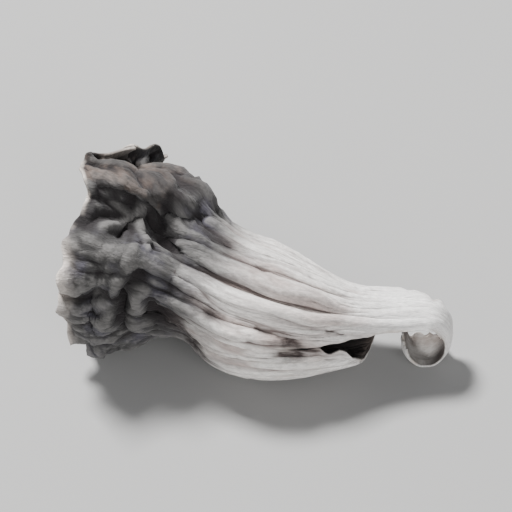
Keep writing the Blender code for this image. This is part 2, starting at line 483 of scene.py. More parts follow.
    def lip_part(self) -> tuple[Points, np.ndarray, np.ndarray]:
        """The turned lip past the mouth, each line of it an arc of a circle.

        Returns:
            Points, runs and angles.
        """
        f = self.form
        u = np.linspace(0.0, 1.0, self.columns + 1)[None, :]
        angle = f.slit_high[-1] + u * 360.0
        run = around(angle, f.mouth_angle, f.mouth_run)
        base = self.place(run, angle)
        along = base - self.place(run - 0.5, angle)
        along /= np.linalg.norm(along, axis=-1, keepdims=True)
        _, _, front, up = self.axes(run)
        low = np.radians(angle)[..., None]
        outward = np.cos(low) * front + np.sin(low) * up
        outward -= (outward * along).sum(-1, keepdims=True) * along
        outward /= np.linalg.norm(outward, axis=-1, keepdims=True)
        ragged = 0.45 * Grain(40, 9.0, 51).read(run, angle)
        ragged = ragged + 0.25 * Grain(95, 9.0, 52).read(run, angle)
        length = (around(angle, f.lip_angle, f.lip_length) + ragged)[..., None]
        bend = around(angle, f.lip_angle, f.lip_bend)[..., None]
        bend = np.radians(np.where(np.abs(bend) < 0.5, 0.5, bend))
        share = np.linspace(0.0, 1.0, self.lip + 1)[1:, None, None]
        gone = share * length
        forth = np.sin(bend * gone) / bend
        out = (1 - np.cos(bend * gone)) / bend
        points = base + forth * along + out * outward
        return points, run + gone[..., 0], np.broadcast_to(angle, points.shape[:2])

    def curl_part(self) -> tuple[Points, np.ndarray, np.ndarray]:
        """The curled strip at the foot, from its tip to the start of the stem.

        The strip goes round an upright oval, a little tighter and flatter
        towards its tip.

        Returns:
            Points, runs and angles.
        """
        f = self.form
        u = np.linspace(0.0, 1.0, self.columns + 1)[None, :]
        share = np.linspace(1.0, 0.0, self.curl + 1)[:-1, None]
        middle, along, front, up = (x[0, 0] for x in self.axes(np.zeros((1, 1))))
        strip = math.radians(f.strip_middle)
        normal = math.cos(strip) * front + math.sin(strip) * up
        across = math.sin(strip) * front - math.cos(strip) * up
        across_tip = np.minimum(u * 1300.0, 360.0)
        tip = 1.0 + 0.035 * Grain(14, 9.0, 61).read(share * 0, across_tip)
        tip = tip + 0.012 * Grain(44, 9.0, 62).read(share * 0, across_tip)
        share = share * tip
        run = -22.0 * share
        zero = np.zeros_like(share)
        high, low = self.edges(run)
        high = high + 6.0 * share**2
        low = low - 26.0 * share**2 + 52.0 * smooth(share, 0.42, 0.62)
        low = low - 15.0 * smooth(share, 0.02, 0.06) - 15.0 * smooth(share, 0.16, 0.20)
        angle = self.spread(run, high, low)
        radius = self.radius(zero, angle)
        off = np.radians(angle - f.strip_middle)
        flat = 1.0 - 0.6 * smooth(share, 0.0, 0.5)
        side = -radius * np.sin(off) * (1 - 0.25 * share**2)
        drop = radius * (1 - np.cos(off)) * flat
        turn = np.radians(f.curl_turn) * share
        tight = 1 - 0.32 * share**2
        centre = middle + (f.radius[0] - f.curl_down) * normal
        out = np.sin(turn) * (f.curl_across * tight - drop)
        rise = np.cos(turn) * (f.curl_down * tight - drop)
        points = centre - out[..., None] * along
        points = points + rise[..., None] * normal + side[..., None] * across
        return points, run, angle

    def sheet(self) -> Sheet:
        """The whole sheet.

        Returns:
            The sheet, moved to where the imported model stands.
        """
        f = self.form
        curl = self.curl_part()
        body = self.body_part()
        lip = self.lip_part()
        middle = np.concatenate([curl[0], body[0], lip[0]])
        middle[..., 2] = np.maximum(middle[..., 2], f.sink + 0.4 * f.wall)
        middle -= (f.centre[0], f.centre[1], f.sink)
        joined = np.concatenate([np.zeros(self.curl, bool), body[3], np.ones(self.lip, bool)])
        return Sheet(
            middle,
            np.concatenate([curl[1], body[1], lip[1]]),
            np.concatenate([curl[2], body[2], lip[2]]),
            joined,
        )


@dataclass(frozen=True)
class Trail:
    """A line of places on the sheet: a crease or a sharp ridge, with stained flesh, painted shade or a painted
    highlight along it.

    Attributes:
        places: Run and angle of each place.
        wide: Half its width in mm.
        height: Its height in mm, below 0 for a crease.
        dark: How dark it is made, from 0 to 1: stained flesh in pits and torn creases, painted shade in hollows and
            under overhangs.
        pale: How strong a highlight is painted on it, from 0 to 1.
        warm: How much it is tinged with brown, from 0 to 1.
        radius: Radius of the hollow there in mm.
    """

    places: tuple[tuple[float, float], ...]
    wide: float
    height: float
    dark: float = 0.0
    pale: float = 0.0
    warm: float = 0.0
    radius: float = 12.5

    def near(self, run: np.ndarray, angle: np.ndarray) -> np.ndarray:
        """Bell shape across the line.

        Each stretch between two places is measured on the unrolled sheet: the
        nearest point of it is found by the way along it, held between its ends.

        Args:
            run: Distance along the hollow.
            angle: Angle round the hollow.

        Returns:
            Values from 0 far away to 1 on the line.
        """
        off = np.full(np.broadcast(run, angle).shape, 1e3)
        for (run_a, angle_a), (run_b, angle_b) in zip(self.places, self.places[1:]):
            x = run - run_a
            y = np.radians(turned(angle - angle_a)) * self.radius
            dx = run_b - run_a
            dy = math.radians(angle_b - angle_a) * self.radius
            way = np.clip((x * dx + y * dy) / (dx * dx + dy * dy), 0.0, 1.0)
            off = np.minimum(off, np.hypot(x - way * dx, y - way * dy))
        return np.exp(-((off / self.wide) ** 2))


class Mark(Enum):
    """Single creases, ridges and pits, each a trail over the sheet. The dark of the stem's pits and torn creases is
    stained flesh. The dark in the cap's hollows, under the lobe and below the cap's overhang is painted shade, and
    the pale on raised ridges is a painted highlight.
    """

    # The raised rays of the star get a painted highlight.
    RAY_DOWN = Trail(((42.4, 75.0), (43.8, 66.0), (45.7, 57.0)), 0.42, 0.85, pale=1.0)
    RAY_RIGHT = Trail(((41.6, 73.0), (40.2, 66.0), (38.6, 56.0)), 0.36, 0.60, pale=1.0)
    RAY_UP = Trail(((42.2, 75.0), (41.4, 81.0)), 0.45, 0.8, pale=0.9)
    RAY_LEFT = Trail(((42.6, 75.0), (45.2, 75.0)), 0.36, 0.6, pale=0.6)
    # Painted shade in the deep crease, in the hollows and under the lobe of the cap.
    WEDGE = Trail(((40.4, 79.0), (38.0, 74.0), (36.1, 68.0)), 1.15, -1.6, dark=1.0)
    UNDER_LOBE = Trail(((47.6, 82.0), (44.6, 86.0), (42.9, 84.0)), 0.85, -1.0, dark=1.0)
    HOLLOW = Trail(((45.8, 66.0), (48.8, 61.0)), 1.15, -0.8, dark=1.0)
    HOLLOW_LEFT = Trail(((47.0, 62.5), (48.8, 61.5)), 1.30, -0.6, dark=1.0)
    HOLLOW_MIDDLE = Trail(((41.6, 64.0), (43.2, 60.0)), 0.70, -0.5, dark=0.7)
    # A raised ridge with a painted highlight.
    BRIGHT = Trail(((37.2, 100.0), (36.6, 98.0)), 0.80, 0.5, pale=0.6)
    # Painted shade in the crease round the swirl, and a painted highlight on its dome.
    SWIRL = Trail(
        ((37.2, 41.0), (38.7, 32.0), (39.1, 20.0), (38.3, 6.0), (37.0, -10.0), (35.9, -17.0)),
        0.90, -1.6, dark=1.0,
    )
    SWIRL_DOME = Trail(((37.3, 30.0), (36.8, 10.0)), 0.90, 0.9, pale=0.3)
    SWIRL_INNER = Trail(((35.6, 24.0), (34.8, 6.0)), 0.60, -0.9, dark=0.7)
    GROOVE = Trail(((15.0, 17.5), (19.5, 21.0), (23.0, 24.0)), 0.42, -0.8, dark=0.9, radius=8.5)
    CREASE = Trail(((20.2, 28.0), (22.6, 35.0)), 0.32, -0.4, dark=0.7, radius=9.0)
    STREAK = Trail(((12.0, 37.0), (14.5, 40.0)), 0.32, -0.3, dark=0.6, radius=7.0)
    PIT_SLIT = Trail(((17.6, 22.0), (19.0, 24.0)), 1.00, -0.8, dark=1.0, radius=8.5)
    PIT_RIM = Trail(((17.6, 12.0), (19.2, 13.0)), 0.80, -0.6, dark=1.0, radius=8.0)
    TAUPE = Trail(((24.0, 72.0), (18.0, 66.0), (13.0, 58.0)), 3.00, 0.0, warm=1.0, radius=9.0)
    BROWN_BELLY = Trail(((21.2, 26.0), (17.3, 25.0), (14.6, 14.0)), 1.80, 0.0, warm=1.0, radius=8.5)
    # Painted shadow under the lobe's edge, and painted shade over the lobe and the top of the cap.
    LOBE_EDGE = Trail(((39.9, 121.0), (38.3, 112.0), (38.7, 102.0), (39.2, 94.0)), 0.95, -0.9, dark=0.9)
    LOBE_SHADE = Trail(((42.0, 104.0), (38.5, 118.0), (36.5, 130.0)), 2.60, 0.0, dark=0.34)
    TOP_SHADE = Trail(((46.0, 66.0), (37.5, 76.0)), 4.20, 0.0, dark=0.22)
    # Painted shadow below the overhang of the cap, where the waist lies in its shade.
    CAP_SHADOW = Trail(((33.5, 8.0), (31.0, 0.0), (28.6, -9.0)), 1.70, -1.0, dark=1.0, radius=10.0)
    CAP_SHADOW_EDGE = Trail(((29.5, -4.0), (26.5, -18.0)), 1.90, -0.3, dark=0.50, radius=10.0)
    WAIST_SHADE = Trail(((30.5, 6.0), (27.8, 2.0)), 2.00, 0.0, dark=0.30, radius=10.0)
    PIT_WAIST = Trail(((27.2, 33.0), (27.8, 33.5)), 0.85, -0.7, dark=0.6, radius=9.8)
    LEFT_PALE = Trail(((41.3, 9.0), (44.0, 12.0)), 1.00, 0.3, pale=0.6)
    WAIST_DARK = Trail(((33.5, 97.0), (30.5, 94.0)), 1.20, -0.3, dark=0.8)
    PIT_TOP = Trail(((24.4, 84.0), (24.9, 84.5)), 0.70, -0.5, dark=0.3, radius=9.8)


@dataclass
class Relief:
    """Height and colour shares of the wall at each point of the sheet.

    Attributes:
        height: How far both sides of the wall are moved outwards, in mm.
        stain_and_shade: 1 in stained pits and torn creases, and where shade is painted into hollows, under the lobe
            and below the cap's overhang.
        ridge_highlight: 1 where a highlight is painted on single raised ridges.
        warm: 1 where the stem is tinged with brown.
        wander: Angle that follows the ribs, in degrees.
        cap: 0 on the stem to 1 on the cap.
        lobe: 1 on the brown lobe at the top of the cap.
        bleach: 1 on the pale foot.
    """

    height: np.ndarray
    stain_and_shade: np.ndarray
    ridge_highlight: np.ndarray
    warm: np.ndarray
    wander: np.ndarray
    cap: np.ndarray
    lobe: np.ndarray
    bleach: np.ndarray

    @staticmethod
    def marks(run: np.ndarray, angle: np.ndarray) -> tuple[np.ndarray, ...]:
        """Joins the single marks, each led astray a little by random patterns.

        Where marks of one kind overlap, the strongest of them counts.

        Args:
            run: Distance along the hollow.
            angle: Angle round the hollow.

        Returns:
            Their height in mm; how dark they are, from stained flesh and painted shade; how strong a highlight is
            painted on them; and how brown they are.
        """
        run = run + 0.45 * Grain(48, 1.8, 97).read(run, angle)
        angle = angle + 2.4 * Grain(48, 1.8, 98).read(run, angle)
        raised = np.zeros(run.shape)
        sunk = np.zeros(run.shape)
        stain_and_shade = np.zeros(run.shape)
        ridge_highlight = np.zeros(run.shape)
        warm = np.zeros(run.shape)
        for trail in (mark.value for mark in Mark):
            near = trail.near(run, angle)
            raised = np.maximum(raised, trail.height * near)
            sunk = np.minimum(sunk, trail.height * near)
            stain_and_shade = np.maximum(stain_and_shade, trail.dark * near)
            ridge_highlight = np.maximum(ridge_highlight, trail.pale * near)
            warm = np.maximum(warm, trail.warm * near)
        return raised + sunk, np.clip(1.8 * stain_and_shade, 0.0, 1.0), ridge_highlight, warm

    @classmethod
    def over(cls, sheet: Sheet, form: Form) -> "Relief":
        """Works the relief out over the sheet.

        On the stem it is 22 wandering ribs, each half a wave of a sine, and
        finer strands, each the absolute value of a random pattern stretched
        along the run, so that a sharp crease lies between rounded strands.
        Towards the mouth these give way to creases that are as long as they are
        wide. A third random pattern bends both sideways.

        Args:
            sheet: The rolled sheet.
            form: Measurements of the main form.

        Returns:
            The relief.
        """
        run = sheet.run
        angle = sheet.angle
        bent = angle + 9.0 * Grain(8, 11.0, 81).read(run, angle)
        bent = bent + 3.0 * Grain(20, 5.0, 82).read(run, angle)
        wander = bent + 6.0 * Grain(12, 15.0, 86).read(run, angle)
        ribs = 0.38 * (np.abs(np.sin(np.radians(11 * wander))) ** 0.7 - 0.65)
        for grain, size, full in (strand.value for strand in Strand):
            ribs = ribs + size * (grain.creased(run, bent) - 0.42) * smooth(run, full - 9.0, full)
        along = run + 1.6 * Grain(16, 4.0, 83).read(run, angle)
        calm = 1 - 0.42 * np.exp(-((turned(angle - 44.0) / 24.0) ** 2))
        folds = calm * sum(
            size * (grain.creased(along, bent) - 0.42)
            for grain, size in (crumple.value for crumple in Crumple)
        )
        late = run - 2.0 * Grain(14, 30.0, 84).read(run, angle)
        late = late + 3.4 * (Grain(52, 40.0, 87).creased(run, wander) - 0.42)
        late = late + 2.4 * np.exp(-((turned(angle - 27.0) / 9.0) ** 2))
        late = late + 3.2 * np.exp(-((turned(angle - 90.0) / 19.0) ** 2))
        late = late - 2.4 * np.exp(-((turned(angle - 8.0) / 7.0) ** 2))
        cap = smooth(late, 24.2, 34.4)
        crush = smooth(run, 29.0, 37.0)
        slim = np.clip(through(run, form.radius_run, form.radius) / 10.0, 0.42, 1.2)
        foot = 1 - 0.72 * smooth(-run, -6.0, 3.0)
        height, stain_and_shade, ridge_highlight, warm = cls.marks(run, angle)
        height = height + ribs * slim * foot * (1 - 0.65 * crush) + folds * crush
        off = turned(angle - through(run, form.fold_run, form.fold_angle))
        off = off + 7.0 * Grain(30, 3.0, 85).read(run, angle)
        lobe = smooth(off, -2.0, 3.0) * (1 - smooth(off, 45.0, 75.0)) * smooth(run, 35.0, 41.0)
        bleach = 1 - smooth(run, 3.0, 16.0)
        return cls(height, stain_and_shade, ridge_highlight, warm, wander, cap, lobe, bleach)


class Shell:
    """The sheet given two sides, wrinkles and shares for its colours."""

    def __init__(self, sheet: Sheet, form: Form) -> None:
        """Numbers the points so that the joined rows close on themselves.

        Args:
            sheet: The rolled sheet.
            form: Measurements of the main form.
        """
        self.sheet = sheet
        self.form = form
        rows, columns = sheet.run.shape
        index = np.arange(rows * columns).reshape(rows, columns)
        index[sheet.joined, -1] = index[sheet.joined, 0]
        kept, number = np.unique(index, return_inverse=True)
        self.kept = kept
        self.index = number.reshape(rows, columns)

    def flat(self, values: np.ndarray) -> np.ndarray:
        """Gives the values of the numbered points only, in their order."""
        return values.reshape(self.index.size, *values.shape[2:])[self.kept]

    def quads(self) -> np.ndarray:
        """Gives four point numbers for each face of the outer side."""
        i = self.index
        quads = np.stack([i[:-1, :-1], i[:-1, 1:], i[1:, 1:], i[1:, :-1]], -1)
        return quads.reshape(-1, 4)

    @staticmethod
    def normals(points: Points, quads: np.ndarray) -> Points:
        """Outward direction at each point, the mean of its faces' own.

        Args:
            points: Numbered points.
            quads: Faces.

        Returns:
            Unit directions.
        """
        corner = points[quads]
        face = np.cross(corner[:, 2] - corner[:, 0], corner[:, 3] - corner[:, 1])
        total = np.zeros_like(points)
        for k in range(4):
            np.add.at(total, quads[:, k], face)
        return total / np.maximum(np.linalg.norm(total, axis=1, keepdims=True), 1e-12)

    def hollows(self, points: Points, rows: int, columns: int) -> np.ndarray:
        """How deep each point lies below the mean of its surroundings.

        The mean is taken over a block of the grid, twice, and its way from the
        point is measured along the outward direction.

        Args:
            points: Numbered points.
            rows: Rows of the block to each side.
            columns: Columns of the block to each side.

        Returns:
            The depth in mm, below 0 on a ridge.
        """
        grid = points[self.index]
        for _ in range(2):
            sides = ((0, 0), (columns + 1, columns), (0, 0))
            ring = np.pad(grid[:, :-1], ((0, 0), (columns + 1, columns + 1), (0, 0)), "wrap")
            open_ = np.pad(grid, sides, "edge")
            total = np.where(self.sheet.joined[:, None, None], ring, open_).cumsum(axis=1)
            width = 2 * columns + 1
            grid = (total[:, width:] - total[:, :-width]) / width
            total = np.pad(grid, ((rows + 1, rows), (0, 0), (0, 0)), "edge").cumsum(axis=0)
            height = 2 * rows + 1
            grid = (total[height:] - total[:-height]) / height
        mean = self.flat(grid)
        return ((mean - points) * self.normals(points, self.quads())).sum(-1)

    def edge_distance(self) -> np.ndarray:
        """Rough distance from the nearest free edge, in mm.

        It is the least of the way along the run to the tip or the lip and the
        way round to the tear, which past its end also counts the run from it.

        Returns:
            The distance at each place of the sheet.
        """
        s = self.sheet
        step = np.linalg.norm(np.diff(s.middle, axis=0), axis=-1)
        gone = np.concatenate([np.zeros((1, s.run.shape[1])), np.cumsum(step, axis=0)])
        near = np.minimum(gone, gone[-1:] - gone)
        cross = np.linalg.norm(np.diff(s.middle, axis=1), axis=-1)
        side = np.concatenate([np.zeros((s.run.shape[0], 1)), np.cumsum(cross, axis=1)], axis=1)
        side = np.minimum(side, side[:, -1:] - side)
        past = np.maximum(s.run - self.form.tear_run[-1], 0.0)
        return np.minimum(near, np.hypot(side, past))

    @staticmethod
    def pale_margin(run: np.ndarray, angle: np.ndarray, edge: np.ndarray) -> np.ndarray:
        """Share of the pale hem that shows here and there along the free edges.

        Args:
            run: Distance along the hollow.
            angle: Angle round the hollow.
            edge: Distance from the nearest free edge.

        Returns:
            The share, most on the front of the mouth and at two pale tips.
        """
        front = np.exp(-((turned(angle - 30.0) / 24.0) ** 2)) * smooth(run, 44.0, 48.0)
        broken = 0.05 + 1.0 * Grain(30, 4.0, 95).read(run, angle)
        broken = broken + 0.7 * Grain(80, 2.0, 96).read(run, angle) + 0.9 * front
        hem = (1 - smooth(edge, 0.1, 0.6 + 0.8 * front)) * np.clip(broken, 0.0, 1.0)
        for mark, most in (
            (Trail(((50.6, 33.0), (50.2, 36.0)), 0.8, 0.0), 1.0),
            (Trail(((50.0, 124.0), (50.4, 128.0)), 1.4, 0.0), 0.6),
            (Trail(((51.2, 40.0), (50.9, 31.0), (50.8, 24.0), (50.2, 6.0)), 1.5, 0.0), 1.0),
            (Trail(((50.2, 6.0), (49.0, -10.0), (48.2, -30.0)), 1.2, 0.0), 0.75),
        ):
            specks = 0.75 + 0.6 * Grain(90, 1.4, 99).read(run, angle)
            hem = np.maximum(hem, most * np.clip(specks, 0.0, 1.0) * mark.near(run, angle))
        return hem

    def rims(self, quads: np.ndarray, count: int) -> np.ndarray:
        """Faces that join the outer and the inner side along the free edges.

        A free edge is a side of an outer face that no other face goes along
        the other way.

        Args:
            quads: Faces of the outer side.
            count: Number of points of one side.

        Returns:
            Four point numbers for each rim face.
        """
        start = quads.ravel()
        end = np.roll(quads, -1, axis=1).ravel()
        free = ~np.isin(start * count + end, end * count + start)
        start, end = start[free], end[free]
        return np.stack([end, start, start + count, end + count], -1)

    def build(self, name: str) -> bpy.types.Mesh:
        """Makes the closed mesh with its colour shares.

        Args:
            name: Name of the mesh.

        Returns:
            The mesh, in metres.
        """
        relief = Relief.over(self.sheet, self.form)
        edge = self.flat(self.edge_distance())
        quads = self.quads()
        middle = self.flat(self.sheet.middle)
        run = self.flat(self.sheet.run)
        angle = self.flat(self.sheet.angle)
        count = len(middle)
        hem = smooth(edge, 0.0, 2.2)
        middle = middle + (self.flat(relief.height) * hem)[:, None] * self.normals(middle, quads)
        frill = 0.55 * Grain(34, 9.0, 91).read(run, angle) + 0.3 * Grain(80, 9.0, 92).read(run, angle)
        frill = frill * (1 - smooth(edge, 0.0, 3.0)) * smooth(run, 30.0, 40.0)
        out = self.normals(middle, quads)
        middle = middle + frill[:, None] * out
        out = self.normals(middle, quads)
        fine = self.hollows(middle, 1, 3)
        broad = self.hollows(middle, 3, 11)
        half = self.form.wall / 2 * (0.42 + 0.58 * smooth(edge, 0.0, 1.6))
        grit = 0.05 * Grain(118, 1.1, 93).read(run, angle) * hem
        outer = middle + (half + grit)[:, None] * out
        inner = middle - half[:, None] * out
        points = np.concatenate([outer, inner])
        points[:, 2] = np.maximum(points[:, 2], 0.0)
        faces = np.concatenate([quads, quads[:, ::-1] + count, self.rims(quads, count)])
        mesh = bpy.data.meshes.new(name)
        mesh.from_pydata((points * MM).tolist(), [], faces.tolist())
        mesh.polygons.foreach_set("use_smooth", np.ones(len(faces), bool))
        shares = {
            # The shares for furrows and pleats grow with how deep a point lies in a hollow. They paint shade into
            # furrows, creases and hollows, and the pleat share also paints highlights on the cap's ridges.
            "furrow_shade": np.tile(np.clip(0.64 + 0.75 * broad + 0.9 * fine, 0.0, 1.0), 2),
            "pleat_shading": np.tile(np.clip(0.58 + 2.2 * fine, 0.0, 1.0), 2),
            "cap": np.tile(self.flat(relief.cap), 2),
            "stain_and_shade": np.tile(self.flat(relief.stain_and_shade), 2),
            "ridge_highlight": np.tile(self.flat(relief.ridge_highlight), 2),
            "warm": np.tile(self.flat(relief.warm), 2),
            "lobe": np.tile(self.flat(relief.lobe), 2),
            # On the inner side only the curl's tip is pale. The rest of the ring's inside keeps the dark inner
            # colour, which there also stands in for the shade inside the ring.
            "bleach": np.concatenate([self.flat(relief.bleach), smooth(-run, 10.0, 15.0)]),
            "inner": np.repeat([0.0, 1.0], count),
            "margin": np.tile(self.pale_margin(run, angle, edge), 2),
            "lip": np.repeat([0.0, 1.0], count) * np.tile(1 - smooth(edge, 0.5, 4.5), 2),
        }
        for key, values in shares.items():
            layer = mesh.attributes.new(key, "FLOAT", "POINT")
            layer.data.foreach_set("value", values.astype(np.float32))
        for key, low, step in (
            ("grain", np.radians(angle), 0.22),
            ("stripe", np.radians(self.flat(relief.wander)), 0.07),
        ):
            place = np.stack([10.0 * np.cos(low), 10.0 * np.sin(low), run * step], -1)
            layer = mesh.attributes.new(key, "FLOAT_VECTOR", "POINT")
            layer.data.foreach_set("vector", np.tile(place, (2, 1)).astype(np.float32).ravel())
        mesh.update()
        return mesh


class Graph:
    """A material's nodes, added and joined in short steps."""

    def __init__(self, name: str) -> None:
        """Starts a material with an empty shader.

        Args:
            name: Name of the material.
        """
        self.material = bpy.data.materials.new(name)
        self.material.use_nodes = True
        self.tree = self.material.node_tree
        self.shader = self.tree.nodes["Principled BSDF"]

    def join(self, value: object, socket: bpy.types.NodeSocket) -> None:
        """Links an output to a socket, or sets the socket to a plain value.

        Args:
            value: An output socket, a number or a colour.
            socket: The input.
        """
        if isinstance(value, bpy.types.NodeSocket):
            self.tree.links.new(value, socket)
        elif isinstance(value, tuple) and len(value) == 3 and socket.type == "RGBA":
            socket.default_value = (*value, 1.0)
        else:
            socket.default_value = value

    def share(self, name: str) -> bpy.types.NodeSocket:
        """Gives one of the mesh's own shares."""
        node = self.tree.nodes.new("ShaderNodeAttribute")
        node.attribute_name = name
        return node.outputs["Fac"]

    def along(self, name: str) -> bpy.types.NodeSocket:
        """Gives one of the places that follow the rolled sheet."""
        node = self.tree.nodes.new("ShaderNodeAttribute")
        node.attribute_name = name
        return node.outputs["Vector"]

    def place(self) -> bpy.types.NodeSocket:
        """Gives the place in the piece's own frame, in metres."""
        return self.tree.nodes.new("ShaderNodeTexCoord").outputs["Object"]

    def noise(
        self, place: bpy.types.NodeSocket, scale: float, detail: float = 4.0, rough: float = 0.55
    ) -> bpy.types.NodeSocket:
        """Cloudy pattern.

        Args:
            place: Where it is read.
            scale: Number of clouds for each unit of place.
            detail: Number of finer layers.
            rough: Share of the finer layers.

        Returns:
            The pattern, from 0 to 1.
        """
        node = self.tree.nodes.new("ShaderNodeTexNoise")
        self.join(place, node.inputs["Vector"])
        node.inputs["Scale"].default_value = scale
        node.inputs["Detail"].default_value = detail
        node.inputs["Roughness"].default_value = rough
        return node.outputs["Fac"]

    def math(self, how: str, a: object, b: object = 0.0) -> bpy.types.NodeSocket:
        """Does one sum.

        Args:
            how: Name of the sum.
            a: First value.
            b: Second value.

        Returns:
            The result.
        """
        node = self.tree.nodes.new("ShaderNodeMath")
        node.operation = how
        self.join(a, node.inputs[0])
        self.join(b, node.inputs[1])
        return node.outputs[0]

    def span(self, value: object, low: float, high: float, to_low: float = 0.0, to_high: float = 1.0) -> bpy.types.NodeSocket:
        """Maps a range to another, smoothly and without overshoot.

        Args:
            value: What is mapped.
            low: Start of its range.
            high: End of its range.
            to_low: Result at the start.
            to_high: Result at the end.

        Returns:
            The mapped value.
        """
        node = self.tree.nodes.new("ShaderNodeMapRange")
        node.interpolation_type = "SMOOTHSTEP"
        self.join(value, node.inputs["Value"])
        node.inputs["From Min"].default_value = low
        node.inputs["From Max"].default_value = high
        node.inputs["To Min"].default_value = to_low
        node.inputs["To Max"].default_value = to_high
        return node.outputs["Result"]

    def mix(self, share: object, a: object, b: object, how: str = "MIX") -> bpy.types.NodeSocket:
        """Mixes two colours.

        Args:
            share: Share of the second.
            a: First colour.
            b: Second colour.
            how: Way of mixing.

        Returns:
            The mixed colour.
        """
        node = self.tree.nodes.new("ShaderNodeMix")
        node.data_type = "RGBA"
        node.blend_type = how
        self.join(share, node.inputs["Factor"])
        self.join(a, node.inputs["A"] if "A" in node.inputs and node.inputs["A"].type == "RGBA" else node.inputs[6])
        self.join(b, node.inputs[7])
        return node.outputs[2]


@dataclass(frozen=True)
class Flesh:
    """The dried flesh: matt, fibrous, pale on the ribs and dark on the cap, with shade painted into its furrows,
    creases and hollows and highlights painted on the cap's ridges.
    """

    rib: tuple[float, float, float] = (0.82, 0.79, 0.755)
    # Colour of the stem's furrows: darker flesh with painted shade in it.
    crease: tuple[float, float, float] = (0.17, 0.13, 0.12)
    blush: tuple[float, float, float] = (0.50, 0.42, 0.39)
    ash: tuple[float, float, float] = (0.40, 0.36, 0.345)
    foot: tuple[float, float, float] = (0.92, 0.91, 0.895)
    cap_ridge: tuple[float, float, float] = (0.052, 0.050, 0.049)
    # Pale grey painted on the cap's raised ridges and rays as a highlight.
    cap_ridge_highlight: tuple[float, float, float] = (0.185, 0.178, 0.172)
    # Near black painted into the cap's creases and hollows as shade.
    cap_crease_shade: tuple[float, float, float] = (0.016, 0.013, 0.014)
    violet: tuple[float, float, float] = (0.062, 0.058, 0.074)
    lobe: tuple[float, float, float] = (0.115, 0.086, 0.072)
    lobe_dark: tuple[float, float, float] = (0.018, 0.014, 0.013)
    stain_and_shade: tuple[float, float, float] = (0.034, 0.021, 0.019)
    inside: tuple[float, float, float] = (0.045, 0.038, 0.036)
    inside_foot: tuple[float, float, float] = (0.40, 0.38, 0.36)
    inside_lip: tuple[float, float, float] = (0.105, 0.084, 0.072)
    hem: tuple[float, float, float] = (0.60, 0.54, 0.49)

    def make(self) -> bpy.types.Material:
        """Builds the material.

        Returns:
            The finished material.
        """
        g = Graph(SLOT)
        place = g.place()
        grain = g.along("grain")
        stripe = g.along("stripe")
        furrow_shade = g.share("furrow_shade")
        pleat_shading = g.share("pleat_shading")
        cap = g.share("cap")
        fibre = g.noise(grain, 5.5, 5.0, 0.62)
        cloud = g.noise(place, 190.0, 3.0)
        patch = g.noise(place, 420.0, 4.0)
        dirt = g.noise(place, 1500.0, 5.0, 0.65)

        streak = g.noise(grain, 0.42, 4.0)
        tinge = g.math("MULTIPLY", g.share("warm"), g.span(g.noise(stripe, 0.7, 3.0), 0.36, 0.58, 0.3, 1.0))
        stem = g.mix(g.math("MAXIMUM", g.span(streak, 0.50, 0.68), tinge), self.rib, self.blush)
        lines = g.span(g.noise(stripe, 1.15, 3.0, 0.6), 0.50, 0.64, 0.0, 0.75)
        stem = g.mix(lines, stem, self.ash)
        # Painted shade: the stem's furrows and creases darken with their depth, partly the darker flesh of the
        # furrows and partly shade.
        stem = g.mix(g.span(furrow_shade, 0.45, 1.0, 0.0, 0.6), stem, self.crease)
        stem = g.mix(g.span(pleat_shading, 0.5, 0.95, 0.0, 0.9), stem, self.crease)
        stem = g.mix(g.math("MULTIPLY", g.share("bleach"), 0.62), stem, self.foot)
        # Stained pits and torn creases on the stem, and painted shadow below the cap's overhang.
        mark = g.math("MULTIPLY", g.share("stain_and_shade"), g.span(fibre, 0.3, 0.7, 1.0, 0.78))
        stem = g.mix(mark, stem, self.stain_and_shade)
        top = g.mix(g.span(cloud, 0.45, 0.7), self.cap_ridge, self.violet)
        roll = g.mix(g.span(g.noise(place, 300.0, 3.0), 0.38, 0.58), self.lobe, self.lobe_dark)
        top = g.mix(g.math("MULTIPLY", g.share("lobe"), 0.92), top, roll)
        # Painted shade in the cap's furrows and creases, darker with their depth.
        top = g.mix(g.span(furrow_shade, 0.35, 1.0, 0.0, 0.6), top, self.cap_crease_shade)
        top = g.mix(g.span(pleat_shading, 0.5, 1.0, 0.0, 0.8), top, self.cap_crease_shade)
        # Painted highlight on the cap's raised ridges, weaker on the brown lobe.
        ridge_highlight = g.span(pleat_shading, 0.0, 0.42, 0.55, 0.0)
        ridge_highlight = g.math("MULTIPLY", ridge_highlight, g.span(g.share("lobe"), 0.0, 1.0, 1.0, 0.45))
        top = g.mix(ridge_highlight, top, self.cap_ridge_highlight)
        # Painted shade along the cap's fine wrinkle lines, which the bump also sinks.
        wrinkle = g.math("ABSOLUTE", g.math("SUBTRACT", g.noise(grain, 1.5, 3.0, 0.6), 0.5))
        wrinkle = g.span(wrinkle, 0.0, 0.08)
        top = g.mix(1.0, top, g.span(wrinkle, 0.0, 1.0, 0.80, 1.03), "MULTIPLY")
        # Painted shade in the cap's hollows and under its lobe, where the dark marks lie.
        top = g.mix(g.math("MULTIPLY", g.share("stain_and_shade"), 0.9), top, self.cap_crease_shade)
        # Painted highlight along the raised rays and single ridges of the cap.
        top = g.mix(g.math("MULTIPLY", g.share("ridge_highlight"), 0.75), top, self.cap_ridge_highlight)
        skin = g.mix(cap, stem, top)
